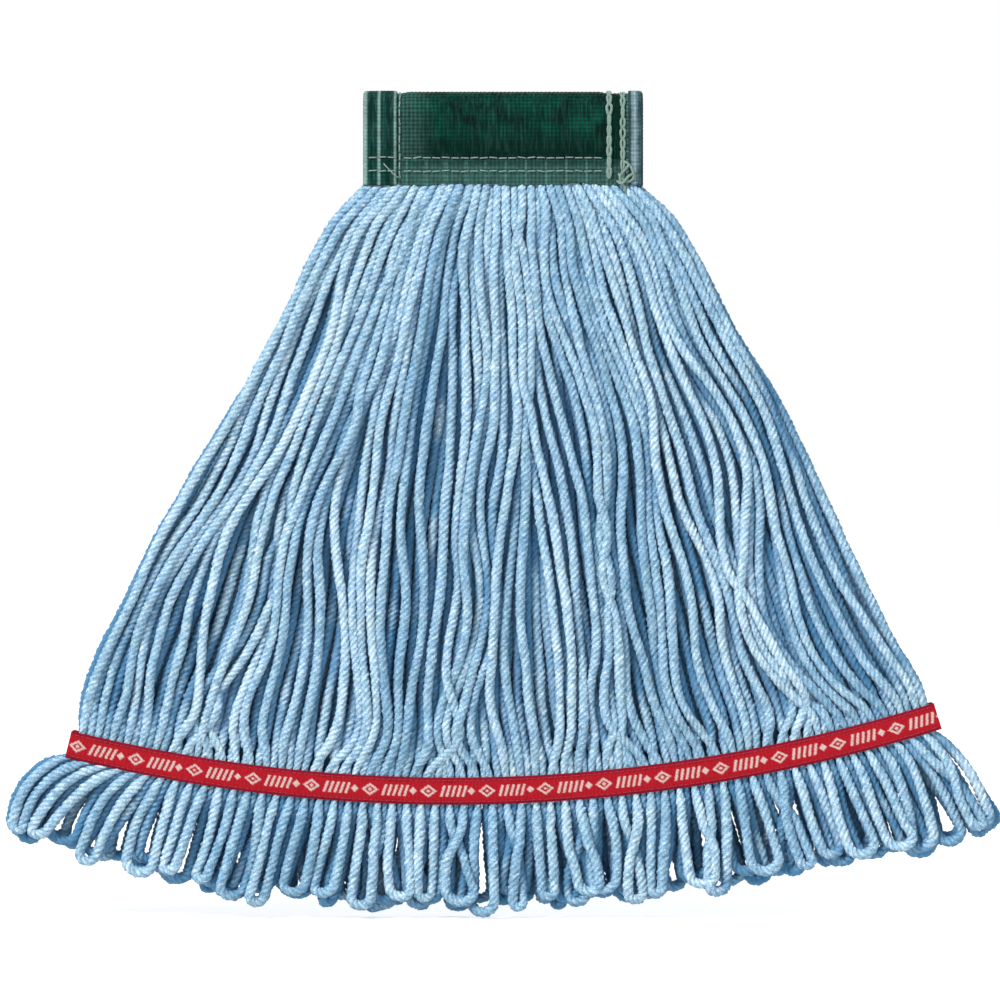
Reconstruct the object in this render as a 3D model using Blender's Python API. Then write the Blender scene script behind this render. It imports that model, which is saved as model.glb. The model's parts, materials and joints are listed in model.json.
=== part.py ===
"""String mop head: looped yarn, folded in half under a wide mesh headband, with a tail band.

Metres. +Z is up, towards the handle, +X is the viewer's right and -Y the front. The origin is the
axis of the handle's crossbar, which lies in the headband's fold. The yarn hangs as two flat
halves, front and back, each with its own tail band and its own fringe of loops.
"""

import math

import bmesh
import bpy

# Headband: a mesh cover and a mesh lining sewn round the middle of the yarn, folded over the bar.
BAND_WIDTH = 0.165  # 6.5 inches along X
BAND_DROP = 0.043  # from the bar's axis to the headband's lower edge
BAR_SLOT_RADIUS = 0.004  # the fold's inside, for a crossbar of up to 8 mm
PINCH = 0.0004  # the two leaves' inner faces at the lower edge, from the middle plane
MESH = 0.0008  # thickness of the cover and of the lining
GAP = 0.0003  # between neighbouring pieces
CORE_AT_FOLD = 0.0056  # thickness of the pressed yarn where it turns over the bar
FOLD_STEPS = 14

# What is sewn on the cover, all of it outside the cover's face.
TRIM = 0.0005  # thickness of the hem and of the selvage
THREAD = 0.0004  # how far a seam stands proud
SEAM_WIDTH = 0.0016
HEM_WIDTH = 0.0200  # the turned hem at the left end
SELVAGE_WIDTH = 0.0085  # the open edge strip at the right end
CHAIN_INNER_X = 0.0625  # the two columns of chain stitch by the selvage
CHAIN_OUTER_X = 0.0705
ROW_UPPER_Z = -0.0272  # the two rows of stitch across the lower part of each leaf
ROW_LOWER_Z = -0.0350
PUFF = 0.0009  # the yarn bulges this far between the seams and above the rows
PUFF_X = (-0.0595, -0.0575, 0.0590, 0.0610)  # where the bulge starts and is full, across
PUFF_Z = (-0.0004, -0.0024, -0.0240, -0.0258)  # and downwards

# Yarn fan: from the headband's lower edge to the tail band.
BUNDLES = 5  # groups of yarn a half, each over its own part of the fringe
FAN_TOP_HALF_WIDTH = 0.0815
FAN_SHOULDERS = ((0.0, 0.0815), (0.016, 0.0925), (0.10, 0.110), (0.28, 0.144), (0.50, 0.184),
                 (0.75, 0.2215), (0.92, 0.2435), (1.0, 0.2530))  # share of the drop, half width
FAN_ROWS = 14
FAN_INNER = 0.0005  # the fan's inner face, from the middle plane
FAN_BELLY = 0.0135  # the fan's outer face just below the headband
FAN_TAIL = 0.0076  # and at the tail band

# Tail band: a woven tape on each face of each half, sewn through the yarn.
TAPE_WIDTH = 0.016
TAPE = 0.0005
TAPE_HALF_SPAN = 0.2555  # along X
TAPE_LOW_X = -0.030  # the band's lowest point lies left of the middle
TAPE_LOW_Z = -0.4005
TAPE_CURVE = 0.54  # rise over the square of the distance from the lowest point, 1/m
TAPE_INSET = 0.0017  # the tape's sewing line, from each edge
TAPE_STEPS = 30

# Fringe: the loops below the tail band.
LOOP_LENGTH = 0.0610
LOOPS_IN_SEGMENT = 12
LOOP_SCALLOP = 0.0040  # the loops' round ends
FLARE = math.radians(27)  # how far the corner loops point outwards
SEGMENT_TAPER = 0.0030  # a segment narrows by this beside a neighbour, so that both can swing
FRINGE_FACE = 0.0080  # the fringe's outer face, from the middle plane

YARN_IN_TAPE = 2 * GAP + TAPE + PINCH  # the yarn's inner face between the tapes

COVER_FACE = BAR_SLOT_RADIUS + MESH + GAP + CORE_AT_FOLD + GAP + MESH
LINING_BACK = BAR_SLOT_RADIUS + MESH
CORE_IN = LINING_BACK + GAP
CORE_OUT = CORE_IN + CORE_AT_FOLD
TRIM_IN = COVER_FACE + GAP


def material(name, colour, roughness):
    """A cloth or yarn material with one colour."""
    made = bpy.data.materials.new(name)
    made.use_nodes = True
    shader = made.node_tree.nodes["Principled BSDF"]
    shader.inputs["Base Color"].default_value = (*colour, 1)
    shader.inputs["Roughness"].default_value = roughness
    shader.inputs["Metallic"].default_value = 0
    return made


def slab(name, outer, inner, finish):
    """A closed solid between two grids of points that match, the outer one away from the middle."""
    rows, columns = len(outer), len(outer[0])
    shape = bmesh.new()
    faces = [[[shape.verts.new(p) for p in row] for row in grid] for grid in (outer, inner)]
    front, back = faces
    for i in range(rows - 1):
        for j in range(columns - 1):
            shape.faces.new((front[i][j], front[i + 1][j], front[i + 1][j + 1], front[i][j + 1]))
            shape.faces.new((back[i][j], back[i][j + 1], back[i + 1][j + 1], back[i + 1][j]))
    rim = [(0, j) for j in range(columns)]
    rim += [(i, columns - 1) for i in range(1, rows)]
    rim += [(rows - 1, j) for j in range(columns - 2, -1, -1)]
    rim += [(i, 0) for i in range(rows - 2, 0, -1)]
    for here, there in zip(rim, rim[1:] + rim[:1]):
        a, b = front[here[0]][here[1]], front[there[0]][there[1]]
        c, d = back[there[0]][there[1]], back[here[0]][here[1]]
        shape.faces.new((a, b, c, d))
    bmesh.ops.recalc_face_normals(shape, faces=shape.faces)
    mesh = bpy.data.meshes.new(name)
    shape.to_mesh(mesh)
    shape.free()
    mesh.materials.append(finish)
    made = bpy.data.objects.new(name, mesh)
    bpy.context.collection.objects.link(made)
    return made


def spread(low, high, count):
    """Evenly spaced values from low to high, both included."""
    return [low + (high - low) * k / (count - 1) for k in range(count)]


def slot_face(z):
    """How far a leaf's inner face is from the middle plane: the slot narrows to the pinched edge."""
    return BAR_SLOT_RADIUS + (PINCH - BAR_SLOT_RADIUS) * -z / BAND_DROP


def place(hinge, points):
    """Moves an object's origin to a point on its joint's axis and leaves its mesh where it is."""
    for made in points:
        made.location = hinge
        for v in made.data.vertices:
            v.co = (v.co.x - hinge[0], v.co.y - hinge[1], v.co.z - hinge[2])


# ---- Headband -------------------------------------------------------------------------------

def fold_piece(name, outer, inner, finish):
    """A half ring over the bar. outer and inner are (x, radius) profiles with as many points."""
    turns = spread(0, math.pi, FOLD_STEPS + 1)
    lift = GAP / 2

    def ring(profile):
        return [[(x, -r * math.cos(a), lift + r * math.sin(a)) for x, r in profile] for a in turns]

    return slab(name, ring(outer), ring(inner), finish)


def leaf_piece(name, side, profile_outer, profile_inner, finish, top=-GAP / 2, bottom=-BAND_DROP):
    """A flat piece of one leaf. Each profile gives (x, distance from the middle plane) at a z."""
    levels = spread(top, bottom, 3)

    def grid(profile):
        return [[(x, side * y, z) for x, y in profile(z)] for z in levels]

    return slab(name, grid(profile_outer), grid(profile_inner), finish)


def level(x0, x1, y):
    """A straight profile from x0 to x1 at one distance."""
    return lambda z: [(x0, y), (x1, y)]


def puff(x, z):
    """How far the headband's face bulges at a point of a leaf, from 0 to PUFF."""
    across = min(x - PUFF_X[0], PUFF_X[3] - x) / (PUFF_X[1] - PUFF_X[0])
    down = min(PUFF_Z[0] - z, z - PUFF_Z[3]) / (PUFF_Z[0] - PUFF_Z[1])
    return PUFF * min(max(min(across, down), 0.0), 1.0)


def puffed_piece(name, side, end, face, back, finish):
    """A layer of one leaf with the bulge in its face. face and back give a distance at x and z."""
    levels = [-GAP / 2, *PUFF_Z, -BAND_DROP]
    columns = [-end, *PUFF_X, end]

    def grid(distance):
        return [[(x, side * distance(x, z), z) for x in columns] for z in levels]

    return slab(name, grid(face), grid(back), finish)


def sloped(x0, x1, depth):
    """A straight profile that follows the slot's face, depth further out."""
    return lambda z: [(x0, slot_face(z) + depth), (x1, slot_face(z) + depth)]


def fold_layer(name, x0, x1, inner_radius, outer_radius, finish):
    """The half ring of one layer, from x0 to x1."""
    return fold_piece(f"{name}_fold", [(x0, outer_radius), (x1, outer_radius)],
                      [(x0, inner_radius), (x1, inner_radius)], finish)


def end_binding(name, end, flange, finish):
    """A strip that closes one end of the headband and turns onto the cover, L-shaped in plan."""
    inward = -math.copysign(1, end)
    outside_x = (end, end, end + inward * flange)
    inside_x = (end + inward * MESH, end + inward * MESH, end + inward * flange)
    out, under = TRIM_IN + TRIM, TRIM_IN

    fold_piece(f"{name}_fold", list(zip(outside_x, (BAR_SLOT_RADIUS, out, out))),
               list(zip(inside_x, (BAR_SLOT_RADIUS, under, under))), finish)
    for leaf, side in LEAVES.items():
        leaf_piece(f"{name}_{leaf}", side,
                   lambda z: list(zip(outside_x, (slot_face(z), out, out))),
                   lambda z: list(zip(inside_x, (slot_face(z), under, under))), finish)


def seam_column(name, x, finish):
    """A line of stitches that runs up one leaf, over the fold and down the other."""
    x0, x1 = x - SEAM_WIDTH / 2, x + SEAM_WIDTH / 2
    fold_layer(name, x0, x1, TRIM_IN, TRIM_IN + THREAD, finish)
    for leaf, side in LEAVES.items():
        leaf_piece(f"{name}_{leaf}", side, level(x0, x1, TRIM_IN + THREAD),
                   level(x0, x1, TRIM_IN), finish)


def headband():
    half = BAND_WIDTH / 2
    end = half - MESH - GAP  # the cover stops short of the strips that close the ends

    fold_layer("headband_cover", -end, end, CORE_OUT + GAP, COVER_FACE, GREEN_MESH)
    fold_layer("headband_lining", -end, end, BAR_SLOT_RADIUS, LINING_BACK, GREEN_LINING)
    fold_layer("yarn_core", -end, end, CORE_IN, CORE_OUT, YARN)
    for leaf, side in LEAVES.items():
        puffed_piece(f"headband_cover_{leaf}", side, end, lambda x, z: COVER_FACE + puff(x, z),
                     lambda x, z: CORE_OUT + GAP + puff(x, z), GREEN_MESH)
        leaf_piece(f"headband_lining_{leaf}", side, sloped(-end, end, MESH),
                   sloped(-end, end, 0), GREEN_LINING)
        puffed_piece(f"yarn_core_{leaf}", side, end, lambda x, z: CORE_OUT + puff(x, z),
                     lambda x, z: slot_face(z) + MESH + GAP, YARN)
    end_binding("left_hem", -half, HEM_WIDTH, GREEN_HEM)
    end_binding("right_selvage", half, SELVAGE_WIDTH, SELVAGE)
    seam_column("left_seam", -half + HEM_WIDTH + SEAM_WIDTH, SEAM_THREAD)
    seam_column("chain_stitch_inner", CHAIN_INNER_X, SEAM_THREAD)
    seam_column("chain_stitch_outer", CHAIN_OUTER_X, SEAM_THREAD)
    row_from = -half + HEM_WIDTH + 2 * SEAM_WIDTH
    row_to = CHAIN_INNER_X - SEAM_WIDTH
    for leaf, side in LEAVES.items():
        for name, z in (("upper_row", ROW_UPPER_Z), ("lower_row", ROW_LOWER_Z)):
            leaf_piece(f"{name}_stitch_{leaf}", side, level(row_from, row_to, TRIM_IN + THREAD),
                       level(row_from, row_to, TRIM_IN), SEAM_THREAD,
                       z + SEAM_WIDTH / 2, z - SEAM_WIDTH / 2)


# ---- Tail band ------------------------------------------------------------------------------

def tape_height(x):
    """The height of the tail band's middle line."""
    return TAPE_LOW_Z + TAPE_CURVE * (x - TAPE_LOW_X) ** 2


def tape_slope(x):
    """The angle of the tail band's middle line above level."""
    return math.atan(2 * TAPE_CURVE * (x - TAPE_LOW_X))


def across_tape(x, distance):
    """The point at a distance above the tail band's middle line, square to it, as (x, z)."""
    a = tape_slope(x)
    return x - distance * math.sin(a), tape_height(x) + distance * math.cos(a)


def tape_strip(name, side, low, high, near, far, finish, trim=0.0):
    """A strip along the tail band between two distances from its middle line."""
    xs = spread(-TAPE_HALF_SPAN + trim, TAPE_HALF_SPAN - trim, TAPE_STEPS)

    def grid(y):
        rows = []
        for distance in (high, low):
            points = [across_tape(x, distance) for x in xs]
            rows.append([(x, side * y, z) for x, z in points])
        return rows

    return slab(name, grid(far), grid(near), finish)


def tail_band(half, side):
    edge = TAPE_WIDTH / 2
    inner_face = PINCH + TAPE
    outer_face = FAN_TAIL + GAP
    made = [
        tape_strip(f"tail_tape_inner_{half}", side, -edge, edge, PINCH, inner_face, RED_TAPE),
        tape_strip(f"tail_tape_outer_{half}", side, -edge, edge, outer_face, outer_face + TAPE,
                   RED_TAPE),
    ]
    sewn = outer_face + TAPE + GAP
    for name, middle in (("upper", edge - TAPE_INSET), ("lower", TAPE_INSET - edge)):
        made.append(tape_strip(f"tape_stitch_{name}_{half}", side, middle - THREAD,
                               middle + THREAD, sewn, sewn + THREAD, TAPE_THREAD, 2 * THREAD))
    return made


# ---- Yarn -----------------------------------------------------------------------------------

def smooth_step(t):
    """From 0 to 1 with no corner at either end."""
    t = min(max(t, 0.0), 1.0)
    return t * t * (3 - 2 * t)


def fan_half_width(share):
    """The fan's half width at a share of its drop."""
    for (s0, w0), (s1, w1) in zip(FAN_SHOULDERS, FAN_SHOULDERS[1:]):
        if share <= s1:
            return w0 + (w1 - w0) * (share - s0) / (s1 - s0)
    return FAN_SHOULDERS[-1][1]


def fan_point(u, share):
    """Where a yarn u of the way from the middle (-1 to 1) is, as (x, z)."""
    foot_x, foot_z = across_tape(u * fan_half_width(1), -TAPE_WIDTH / 2)
    top_z = -BAND_DROP - GAP
    width = fan_half_width(share)
    return u * width + (foot_x - u * fan_half_width(1)) * share, top_z + (foot_z - top_z) * share


def fan_faces(share):
    """The fan's inner and outer face, from the middle plane, at a share of its drop."""
    from_lining = slot_face(-BAND_DROP) + MESH + GAP
    inner = from_lining + (FAN_INNER - from_lining) * smooth_step(share / 0.06)
    inner += (YARN_IN_TAPE - FAN_INNER) * smooth_step((share - 0.86) / 0.07)
    outer = CORE_OUT + (FAN_BELLY - CORE_OUT) * smooth_step(share / 0.05)
    outer += (FAN_TAIL - FAN_BELLY) * smooth_step((share - 0.05) / 0.88)
    return inner, outer


def yarn_bundle(name, side, first, last, finish):
    """One group of yarns, from the headband to the tail band's lower edge."""
    shares = [0.0, 0.012, 0.03, 0.06] + spread(0.12, 0.86, FAN_ROWS - 7) + [0.90, 0.94, 1.0]
    crown = {-1.0: 0.80, -0.8: 0.96, 0.0: 1.0, 0.8: 0.96, 1.0: 0.80}

    def grid(outward):
        rows = []
        for share in shares:
            inner, outer = fan_faces(share)
            inset = GAP / fan_half_width(share)
            row = []
            for s, fullness in crown.items():
                u = (first + last) / 2 + s * ((last - first) / 2 - inset)
                x, z = fan_point(u, share)
                y = (inner + outer) / 2 + outward * fullness * (outer - inner) / 2
                row.append((x, side * y, z))
            rows.append(row)
        return rows

    return slab(name, grid(1), grid(-1), finish)


def fringe_segment(name, side, first, last, finish):
    """The loops below one stretch of the tail band, pinched under it, round at their ends."""
    span = fan_half_width(1)
    samples = 2 * LOOPS_IN_SEGMENT + 1
    shares = (0.0, 0.15, 0.85, 1.0)
    half_thickness = (0.62, 1.0, 0.95, 0.35)

    def grid(outward):
        rows = []
        for share, fullness in zip(shares, half_thickness):
            row = []
            low = first + (2 * GAP + SEGMENT_TAPER * share * (first > -1)) / span
            high = last - (2 * GAP + SEGMENT_TAPER * share * (last < 1)) / span
            for k in range(samples):
                u = low + (high - low) * k / (samples - 1)
                x, z = across_tape(u * span, -TAPE_WIDTH / 2 - GAP)
                lean = FLARE * u ** 3 * (1 + abs(u)) / 2 + tape_slope(u * span)
                round_end = LOOP_SCALLOP * (k % 2 == 0) * smooth_step(share)
                reach = share * LOOP_LENGTH - round_end
                middle = (FRINGE_FACE + YARN_IN_TAPE) / 2
                y = middle + outward * fullness * (FRINGE_FACE - YARN_IN_TAPE) / 2
                row.append((x + reach * math.sin(lean), side * y, z - reach * math.cos(lean)))
            rows.append(row)
        return rows

    return slab(name, grid(1), grid(-1), finish)


def half_of_yarn(half, side):
    """The yarn fan, the tail band and the fringe of one half, with their origins on their hinges."""
    hinge_y = side * HEADBAND_HINGE
    bundles = []
    for k in range(BUNDLES):
        first, last = -1 + 2 * k / BUNDLES, -1 + 2 * (k + 1) / BUNDLES
        bundles.append(yarn_bundle(f"yarn_bundle_{half}_{k + 1}", side, first, last, YARN))
        loops = fringe_segment(f"loop_fringe_{half}_{k + 1}", side, first, last, YARN)
        x, z = across_tape((first + last) / 2 * fan_half_width(1), FRINGE_HINGE_UP - TAPE_WIDTH / 2)
        place((x, side * FRINGE_HINGE, z), [loops])
    place((0, hinge_y, -BAND_DROP), bundles + tail_band(half, side))


LEAVES = {"front": -1, "back": 1}
HEADBAND_HINGE = COVER_FACE + PUFF + GAP  # both of a leaf's hinges lie just outside its face
FRINGE_HINGE = FAN_TAIL + 3 * GAP + TAPE + THREAD
FRINGE_HINGE_UP = 0.0007  # the hinge is straight, and the tail band's edge bows this far past it

for old in list(bpy.data.objects):
    bpy.data.objects.remove(old, do_unlink=True)

GREEN_MESH = material("headband mesh", (0.004, 0.075, 0.045), 0.62)
GREEN_LINING = material("headband lining", (0.003, 0.055, 0.035), 0.7)
GREEN_HEM = material("headband hem", (0.02, 0.11, 0.085), 0.65)
SELVAGE = material("selvage", (0.28, 0.38, 0.42), 0.8)
SEAM_THREAD = material("seam thread", (0.34, 0.46, 0.40), 0.7)
YARN = material("yarn", (0.25, 0.45, 0.66), 0.9)
RED_TAPE = material("tail tape", (0.52, 0.006, 0.014), 0.6)
TAPE_THREAD = material("tape thread", (0.40, 0.012, 0.02), 0.6)

headband()
for half_name, half_side in LEAVES.items():
    half_of_yarn(half_name, half_side)
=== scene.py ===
"""The looks of the string mop head: every yarn, loop, woven layer, tape and stitch.

Metres, in the CAD's frame: +Z up, -Y the front. Both halves are made by the same functions, with
side -1 for the front and +1 for the back.
"""

import json
import math

import bpy
import numpy as np
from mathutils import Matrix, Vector


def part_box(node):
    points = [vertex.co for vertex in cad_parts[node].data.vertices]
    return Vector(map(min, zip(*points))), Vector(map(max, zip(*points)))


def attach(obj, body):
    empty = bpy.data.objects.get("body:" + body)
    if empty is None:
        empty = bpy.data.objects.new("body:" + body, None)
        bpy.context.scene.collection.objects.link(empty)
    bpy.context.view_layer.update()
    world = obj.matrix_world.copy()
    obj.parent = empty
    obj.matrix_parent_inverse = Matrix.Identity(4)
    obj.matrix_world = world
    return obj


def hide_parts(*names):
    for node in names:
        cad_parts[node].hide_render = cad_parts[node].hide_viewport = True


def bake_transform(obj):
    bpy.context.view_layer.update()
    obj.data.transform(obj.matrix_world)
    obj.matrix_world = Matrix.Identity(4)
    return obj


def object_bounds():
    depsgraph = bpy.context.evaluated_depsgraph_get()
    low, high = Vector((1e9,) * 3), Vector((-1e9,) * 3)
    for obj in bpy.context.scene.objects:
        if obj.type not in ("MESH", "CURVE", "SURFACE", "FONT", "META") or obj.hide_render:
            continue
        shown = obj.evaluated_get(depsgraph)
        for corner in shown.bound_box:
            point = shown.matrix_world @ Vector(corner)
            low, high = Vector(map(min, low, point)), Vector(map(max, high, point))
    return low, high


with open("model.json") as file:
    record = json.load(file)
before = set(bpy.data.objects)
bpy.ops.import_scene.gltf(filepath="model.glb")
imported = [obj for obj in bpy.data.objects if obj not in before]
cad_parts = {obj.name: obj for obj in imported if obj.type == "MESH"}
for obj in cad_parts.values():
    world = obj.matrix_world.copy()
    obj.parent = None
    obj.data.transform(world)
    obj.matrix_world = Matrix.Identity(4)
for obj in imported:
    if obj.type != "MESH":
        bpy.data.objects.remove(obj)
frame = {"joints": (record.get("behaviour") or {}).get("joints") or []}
cad_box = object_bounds()

SEGMENTS = 5  # groups of yarn in a half, one for each CAD bundle and each CAD stretch of fringe

# Yarn: four plies twisted together, laid back and forth, with a loop below the tail band.
RUNS = 120
YARN_RADIUS = 0.003
PLIES = 4
TWIST_LENGTH = 0.015  # one turn of the plies
RING_STEP = 0.00135  # spacing of the rings of a yarn's mesh
RING_POINTS = 3 * PLIES
SQUEEZE = 0.875  # how near two yarns press together, as a share of their thickness
NEAR = 0.0062  # how near two yarns have to lie to count as neighbours
GROOVE = 0.84  # the radius in the line between two plies, as a share of the yarn's
FLUFF = 0.07  # how uneven a yarn's surface is, as a share of its radius
BAKE_MAP = "OFBake"  # the map for bakes: here each yarn has a straight strip of it

# Painted shade: a yarn's colour darkens over a stretch of depth below the face that it looks out
# of.
# The inside of a half is painted darker still, and where a half is thin the painted shade starts
# nearer its faces.
PAINTED_SHADE_FROM, PAINTED_SHADE_OVER, PAINTED_SHADE_MOST = 0.002, 0.0046, 0.92
INSIDE_SHADE_DEPTH = 0.0042  # the depth that counts on top of the real one, for the painted shade inside a half
FULL_THICKNESS = 0.013

# The headband, read from the CAD's nodes.
COVER_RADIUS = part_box("headband_cover_fold")[1].y  # the fold's outside, round the bar's axis
BAND_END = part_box("right_selvage_fold")[1].x
BAND_DROP = -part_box("headband_cover_front")[0].z
HEM_INNER_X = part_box("left_hem_front")[1].x
SELVAGE_INNER_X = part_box("right_selvage_front")[0].x
SEAM_X = sum(v.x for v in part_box("left_seam_front")) / 2
CHAIN_X = [sum(v.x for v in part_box(f"chain_stitch_{n}_front")) / 2 for n in ("inner", "outer")]
ROW_Z = [sum(v.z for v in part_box(f"{n}_row_stitch_front")) / 2 for n in ("upper", "lower")]
BAR_SLOT_RADIUS = 0.004
PINCH = 0.0004  # half of the gap that is left between the two leaves' lower edges
FOLD_LENGTH = COVER_RADIUS * math.pi / 2  # from the crown to the top of a leaf
BAND_LENGTH = FOLD_LENGTH + BAND_DROP  # from the crown to the lower edge

# The fan's outline and the tail band's curve, as in the CAD.
FAN_SHARES = (0, 0.017, 0.06, 0.15, 0.28, 0.4, 0.5, 0.6, 0.75, 0.9, 1)
FAN_HALF_WIDTHS = (0.0785, 0.0835, 0.0975, 0.1155, 0.1365, 0.162, 0.181, 0.1965, 0.2195, 0.2435,
                   0.2525)
FAN_FOOT = FAN_HALF_WIDTHS[-1]
TAPE_LOW_X, TAPE_LOW_Z, TAPE_CURVE = -0.03, -0.4005, 0.54
TAPE_WIDTH = 0.016
TAPE_HALF_SPAN = 0.2555
LOOP_LENGTH = 0.061
FLARE = {-1: math.radians(28.5), 1: math.radians(20)}  # how far the corner loops lean out

random = np.random.default_rng(20)


# ---- Materials

def feed(tree, node, inputs):
    """Gives a node's inputs, by name or number, their values, colours or sources."""
    for key, value in inputs.items():
        socket = node.inputs[key]
        if isinstance(value, tuple):
            socket.default_value = (*value, 1)[:len(socket.default_value)]
        elif isinstance(value, (int, float)):
            socket.default_value = value
        else:
            tree.links.new(value, socket)
    return node.outputs


class Nodes:
    """A material's node tree, with short calls for its nodes."""

    def __init__(self, name, roughness, sheen=0, sheen_tint=(1, 1, 1), specular=0.25):
        self.material = bpy.data.materials.new(name)
        self.material.use_nodes = True
        self.tree = self.material.node_tree
        self.shader = self.tree.nodes["Principled BSDF"]
        self.shade({"Roughness": roughness, "Specular IOR Level": specular, "Sheen Weight": sheen,
                    "Sheen Roughness": 0.45, "Sheen Tint": sheen_tint})

    def shade(self, inputs):
        feed(self.tree, self.shader, inputs)

    def node(self, kind, inputs, **settings):
        """The outputs of a new node."""
        made = self.tree.nodes.new(kind)
        for name, value in settings.items():
            setattr(made, name, value)
        return feed(self.tree, made, inputs)

    def channels(self, name):
        """The three channels of a colour attribute."""
        colour = self.node("ShaderNodeAttribute", {}, attribute_name=name)["Color"]
        return self.node("ShaderNodeSeparateColor", {"Color": colour})

    def noise(self, scale, detail=2, stretch=None):
        """Noise laid on the piece at rest, so it bends with the piece. stretch scales its axes."""
        place = self.node("ShaderNodeAttribute", {}, attribute_name="rest")["Vector"]
        if stretch:
            inputs = {0: place, 1: stretch}
            place = self.node("ShaderNodeVectorMath", inputs, operation="MULTIPLY")[0]
        inputs = {"Scale": scale, "Detail": detail, "Vector": place}
        return self.node("ShaderNodeTexNoise", inputs)["Fac"]

    def math(self, operation, a, b=0, clamp=False):
        return self.node("ShaderNodeMath", {0: a, 1: b}, operation=operation, use_clamp=clamp)[0]

    def times(self, a, b, clamp=False):
        return self.math("MULTIPLY", a, b, clamp)

    def ramp(self, factor, stops):
        colour = self.node("ShaderNodeValToRGB", {"Fac": factor})["Color"]
        elements = colour.node.color_ramp.elements
        while len(elements) < len(stops):
            elements.new(0.5)
        for element, (place, shade) in zip(elements, stops):
            element.position, element.color = place, (*shade, 1)
        return colour

    def mix(self, factor, a, b, blend="MIX"):
        inputs = {0: factor, 6: a, 7: b}
        return self.node("ShaderNodeMix", inputs, data_type="RGBA", blend_type=blend)[2]

    def bump(self, height, strength, distance):
        inputs = {"Strength": strength, "Distance": distance, "Height": height}
        self.shade({"Normal": self.node("ShaderNodeBump", inputs)["Normal"]})

    def roughness(self, source, low, high):
        inputs = {"To Min": low, "To Max": high, "Value": source}
        self.shade({"Roughness": self.node("ShaderNodeMapRange", inputs)[0]})


def yarn_material():
    """Blended cotton: pale fuzzy plies, with painted shade: deeper blue in the grooves and between
    the runs.
    """
    m = Nodes("mop yarn", 0.92, sheen=0.18, sheen_tint=(0.8, 0.9, 1))
    crown, tint, painted_light_share = m.channels("yarn")
    fibres = m.noise(1050, 4)
    clumps = m.noise(250)
    shade = m.math("ADD", m.times(fibres, 1.25), m.times(clumps, 0.75))
    shade = m.math("ADD", shade, m.times(tint, 0.42))
    shade = m.math("SUBTRACT", shade, 0.7, True)
    ply = m.ramp(shade, ((0.15, (0.16, 0.32, 0.48)), (0.47, (0.35, 0.55, 0.71)),
                         (0.78, (0.74, 0.87, 0.95))))
    # Painted shade: the grooves between the plies are painted a darker blue.
    painted_groove_shade = m.ramp(shade, ((0.15, (0.07, 0.2, 0.35)), (0.8, (0.3, 0.5, 0.67))))
    lit = m.mix(m.math("POWER", crown, 0.7), painted_groove_shade, ply)
    cast = m.math("SUBTRACT", m.times(m.noise(55, 1), 4), 1.6, True)
    lit = m.mix(cast, lit, (1, 0.98, 0.93), "MULTIPLY")
    # Painted shade: a darker, bluer copy of the colour for the yarn that lies deep; the third mark
    # mixes it in.
    deep = m.mix(0.86, lit, (0.02, 0.16, 0.335))
    m.shade({"Base Color": m.mix(painted_light_share, deep, lit)})
    m.bump(m.noise(2000, 4), 0.9, 0.0008)
    m.roughness(fibres, 0.82, 1)
    return m.material


def mesh_material(name, high, low, thread):
    """Coated woven mesh: high and low are its colours on the threads and between them."""
    m = Nodes(name, 0.6, specular=0.03)
    raised, band, pale = m.channels("weave")
    wear = m.noise(330, 3)
    streaks = m.noise(1, 3, stretch=(950, 500, 90))
    blotches = m.noise(95)
    mottle = m.math("ADD", m.times(wear, 0.7), m.times(streaks, 0.6))
    mottle = m.math("ADD", mottle, m.times(blotches, 2.3))
    mottle = m.math("SUBTRACT", mottle, 1.37, True)
    body = m.mix(m.times(raised, mottle, True), low, high)
    # The second mark darkens the mesh: the dark threads of the hem and the selvage, and the cover's
    # darker bands by its rows of stitches, which are partly painted shade.
    body = m.mix(m.times(band, 0.85), body, tuple(0.16 * c for c in high))
    worn = m.math("POWER", m.times(streaks, 1.6, True), 9)
    body = m.mix(m.times(worn, 0.11), body, tuple(0.5 * c for c in thread))
    pale = m.times(pale, m.math("ADD", wear, 0.25), True)
    m.shade({"Base Color": m.mix(pale, body, thread)})
    m.bump(m.noise(1900), 0.35, 0.0003)
    m.roughness(wear, 0.5, 0.78)
    return m.material


def thread_material(name, dark, light):
    """Sewing thread of one colour, lighter and darker along its fibres."""
    m = Nodes(name, 0.6, sheen=0.2)
    strands = m.noise(1700)
    m.shade({"Base Color": m.ramp(strands, ((0.3, dark), (0.7, light)))})
    m.bump(m.noise(3200, 1), 0.3, 0.0002)
    m.roughness(strands, 0.5, 0.8)
    return m.material


def tape_material():
    """Woven red tape: ribs across it, darker edges and a pale woven motif."""
    m = Nodes("tail tape", 0.5, specular=0.06)
    motif, edge, rib = m.channels("tape")
    fibres = m.noise(1400)
    red = m.ramp(fibres, ((0.3, (0.25, 0.004, 0.011)), (0.7, (0.42, 0.01, 0.018))))
    red = m.mix(m.times(rib, 0.35), red, (0.2, 0.002, 0.008))
    red = m.mix(m.times(edge, 0.85), red, (0.19, 0.003, 0.014))
    pale = m.ramp(fibres, ((0.3, (0.46, 0.28, 0.25)), (0.7, (0.62, 0.5, 0.46))))
    m.shade({"Base Color": m.mix(m.times(motif, 0.9), red, pale)})
    m.bump(m.noise(2400, 1), 0.3, 0.0002)
    m.roughness(fibres, 0.4, 0.65)
    return m.material


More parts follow.
